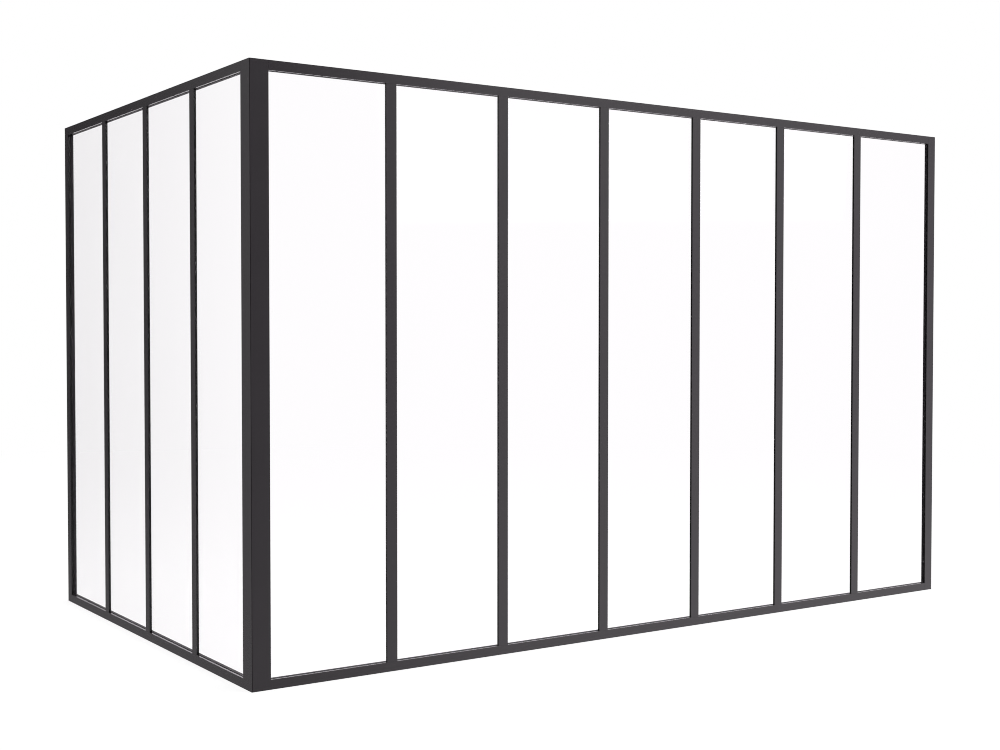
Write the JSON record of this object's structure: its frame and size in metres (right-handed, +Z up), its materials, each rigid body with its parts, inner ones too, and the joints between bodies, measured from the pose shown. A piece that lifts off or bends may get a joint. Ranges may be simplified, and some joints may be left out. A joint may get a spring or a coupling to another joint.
{
  "type": "interior glass partition",
  "caption": "L-shaped glazed interior partition: full-height panes in slim dark metal frames with flat uprights, rails and a corner post.",
  "frame": {"origin": "centre of the corner post's foot, on the floor", "axes": "+X along the long right wall, +Y along the short left wall, +Z up"},
  "size_m": [4.0885, 2.3285, 2.5],
  "materials": {
    "frame_paint": "matt powder coat, near black",
    "clear_glass": "clear toughened glass",
    "sealing_tape": "black closed-cell sealing tape",
    "block_plastic": "hard plastic"
  },
  "bodies": {
    "root": {"corner_post": "frame_paint", "right_start_post": "frame_paint", "right_end_post": "frame_paint", "right_bottom_rail": "frame_paint", "right_top_rail": "frame_paint", "right_start_bead": "frame_paint", "right_end_bead": "frame_paint", "right_bottom_bead": "frame_paint", "right_top_bead": "frame_paint", "right_mullion_1": "frame_paint", "right_mullion_2": "frame_paint", "right_mullion_3": "frame_paint", "right_mullion_4": "frame_paint", "right_mullion_5": "frame_paint", "right_mullion_6": "frame_paint", "right_clamping_strips": "frame_paint", "left_start_post": "frame_paint", "left_end_post": "frame_paint", "left_bottom_rail": "frame_paint", "left_top_rail": "frame_paint", "left_start_bead": "frame_paint", "left_end_bead": "frame_paint", "left_bottom_bead": "frame_paint", "left_top_bead": "frame_paint", "left_mullion_1": "frame_paint", "left_mullion_2": "frame_paint", "left_mullion_3": "frame_paint", "left_clamping_strips": "frame_paint", "right_glass_1": "clear_glass", "right_glass_2": "clear_glass", "right_glass_3": "clear_glass", "right_glass_4": "clear_glass", "right_glass_5": "clear_glass", "right_glass_6": "clear_glass", "right_glass_7": "clear_glass", "left_glass_1": "clear_glass", "left_glass_2": "clear_glass", "left_glass_3": "clear_glass", "left_glass_4": "clear_glass", "right_front_tape": "sealing_tape", "right_bead_tape": "sealing_tape", "left_front_tape": "sealing_tape", "left_bead_tape": "sealing_tape", "right_setting_blocks": "block_plastic", "left_setting_blocks": "block_plastic"}
  },
  "joints": []
}
